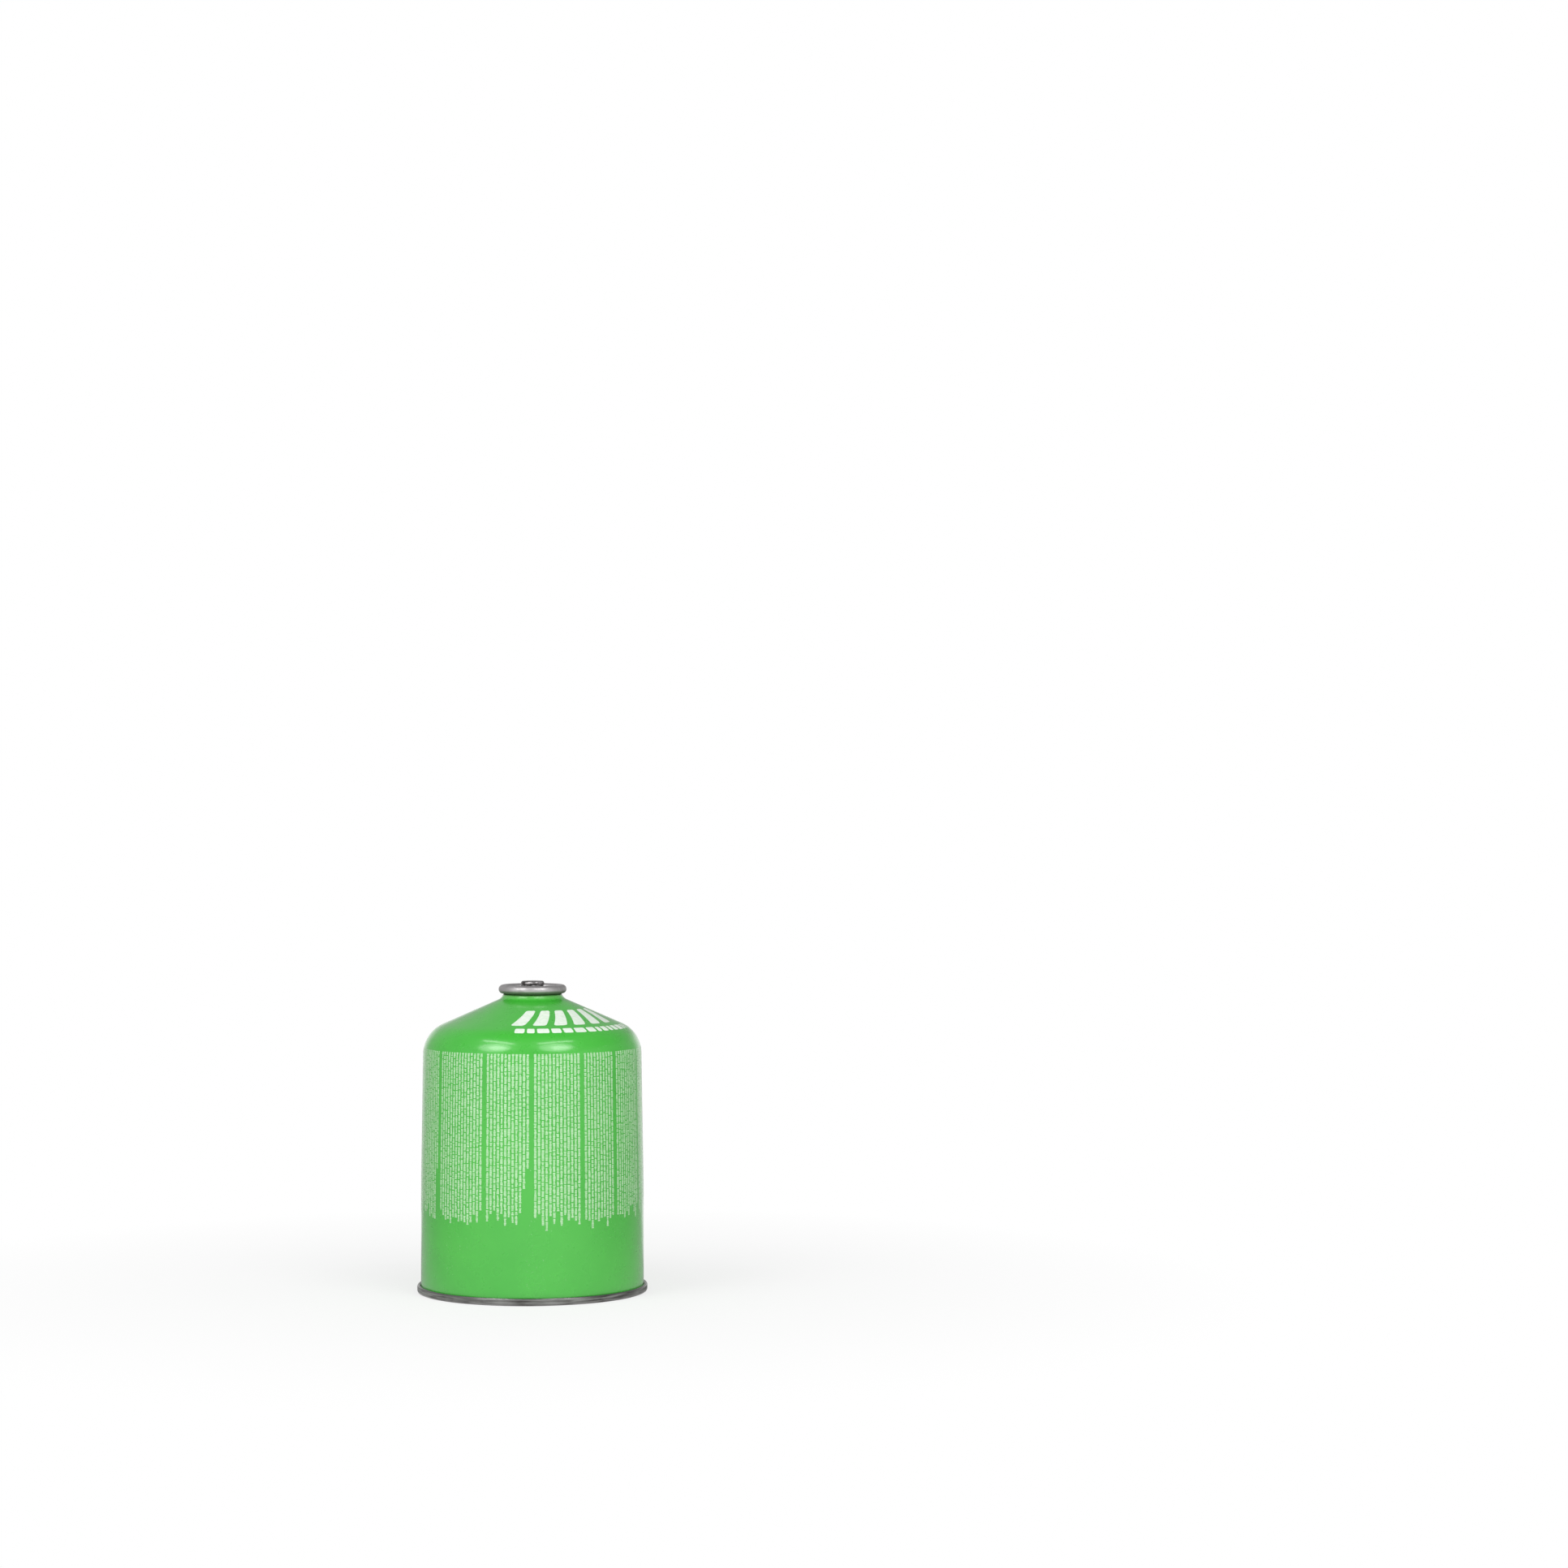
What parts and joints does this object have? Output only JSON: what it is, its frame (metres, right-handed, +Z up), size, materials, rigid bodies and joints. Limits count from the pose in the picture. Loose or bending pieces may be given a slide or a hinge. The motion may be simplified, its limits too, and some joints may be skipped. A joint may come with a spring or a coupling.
{
  "type": "gas canister",
  "caption": "Screw-on gas canister for a camping stove: drawn steel can with domed top, seamed base, crimped valve cup and self-sealing valve.",
  "frame": {"origin": "centre of the seam's lowest face, which is what the canister stands on", "axes": "+Z up along the canister's axis, out through the valve's port; the canister is round, so +X and +Y are free"},
  "size_m": [0.1098, 0.1098, 0.1482],
  "materials": {
    "green_paint": "gloss enamel with a pale printed band",
    "base_steel": "bare tinplate",
    "cup_steel": "bare tinplate",
    "compound": "matt",
    "black_rubber": "matt",
    "housing_plastic": "moulded",
    "piston_plastic": "moulded",
    "spring_steel": "drawn wire"
  },
  "bodies": {
    "canister": {"canister_shell": "green_paint", "base_end": "base_steel", "seam_compound": "compound", "valve_cup": "cup_steel", "cup_gasket": "black_rubber", "valve_housing": "housing_plastic", "stem_gasket": "black_rubber", "valve_spring": "spring_steel"},
    "piston": {"valve_piston": "piston_plastic"}
  },
  "joints": [
    {"name": "piston_press", "type": "slide", "parent": "canister", "child": "piston", "axis": [0, 0, -1], "range_m": [0, 0.002], "stiffness_N_per_m": 700, "springref_m": -0.003, "deforming": ["valve_spring"]}
  ]
}
